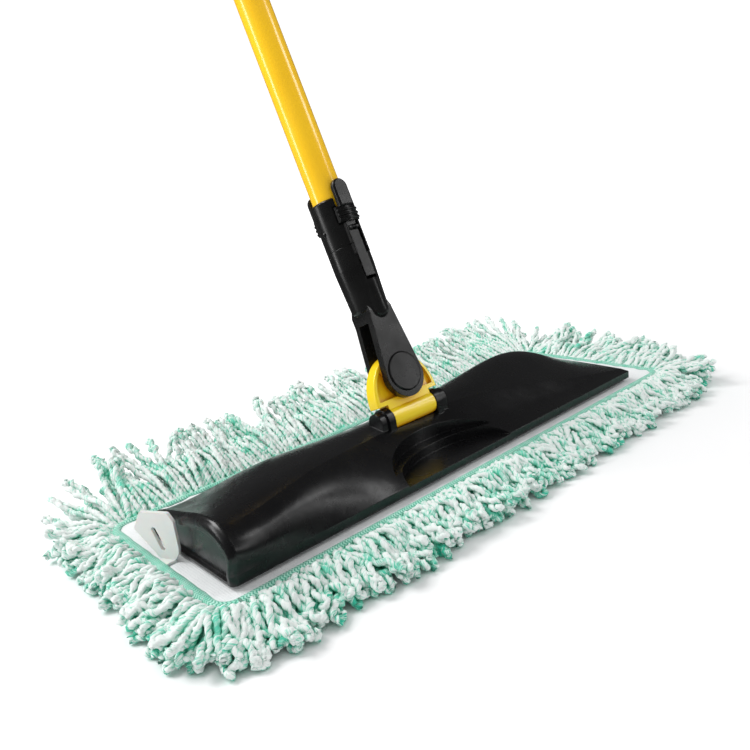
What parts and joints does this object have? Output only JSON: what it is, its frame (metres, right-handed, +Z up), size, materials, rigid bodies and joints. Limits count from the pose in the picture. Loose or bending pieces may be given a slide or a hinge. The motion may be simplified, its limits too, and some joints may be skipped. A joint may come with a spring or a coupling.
{
  "type": "flat floor mop",
  "caption": "Flat floor mop: a looped microfibre pad with a fringe on a hinged plastic frame, with a two-way swivel and a long straight handle.",
  "frame": {"origin": "on the floor under the middle of the pad", "axes": "+X along the frame to its thin end, +Y to the rear, +Z up"},
  "size_m": [0.568, 0.6538, 1.4367],
  "materials": {
    "shell_black": "satin moulded black",
    "black_plastic": "satin moulded black",
    "plate_black": "matt black",
    "yellow_plastic": "glossy moulded yellow",
    "yellow_tube": "glossy yellow powder coat",
    "grip_rubber": "matt",
    "nylon": "natural nylon",
    "steel": "zinc plated",
    "hook_fastener": "hook tape",
    "white_backing": "napped loop fabric",
    "pad_felt": "felt",
    "yarn": "twisted microfibre",
    "green_binding": "woven binding tape",
    "white_tab": "satin white"
  },
  "bodies": {
    "frame": {"frame_shell": "shell_black", "end_cap_left": "shell_black", "base_plate": "plate_black", "base_screws": "steel", "hook_strip_front": "hook_fastener", "hook_strip_rear": "hook_fastener", "hinge_pin": "steel", "hinge_plug": "black_plastic", "pad_backing": "white_backing", "pad_core": "pad_felt", "pad_pile": "yarn", "pad_binding": "green_binding", "fringe_front": "yarn", "fringe_rear": "yarn", "fringe_left": "yarn", "fringe_right": "yarn", "pull_tab": "white_tab"},
    "yoke": {"yoke": "yellow_plastic", "yoke_bushes": "nylon", "pivot_washers": "nylon"},
    "handle": {"fork": "black_plastic", "pivot_bolt": "steel", "pivot_nut": "steel", "pivot_cap_front": "black_plastic", "pivot_cap_rear": "black_plastic", "handle_coupler": "black_plastic", "coupler_rivet": "black_plastic", "latch_pins": "steel", "latch_springs": "steel", "handle_tube": "yellow_tube", "handle_grip": "grip_rubber", "hang_cap": "black_plastic"},
    "latch_front": {"latch_front": "black_plastic"},
    "latch_rear": {"latch_rear": "black_plastic"}
  },
  "joints": [
    {"name": "yoke_pitch", "type": "hinge", "parent": "frame", "child": "yoke", "pos_m": [-0.026, -0.015, 0.0535], "axis": [1, 0, 0], "range_deg": [-34.5, 77.5]},
    {"name": "handle_swing", "type": "hinge", "parent": "yoke", "child": "handle", "pos_m": [-0.026, -0.00437, 0.08048], "axis": [0, 0.9304, -0.3665], "range_deg": [-75, 75]},
    {"name": "front_latch", "type": "hinge", "parent": "handle", "child": "latch_front", "pos_m": [-0.026, 0.02226, 0.19037], "axis": [1, 0, 0], "range_deg": [-3.8, 0], "stiffness_Nm_per_rad": 0.4, "springref_deg": 11.46},
    {"name": "rear_latch", "type": "hinge", "parent": "handle", "child": "latch_rear", "pos_m": [-0.026, 0.0511, 0.17901], "axis": [1, 0, 0], "range_deg": [0, 3.8], "stiffness_Nm_per_rad": 0.4, "springref_deg": -11.46}
  ]
}
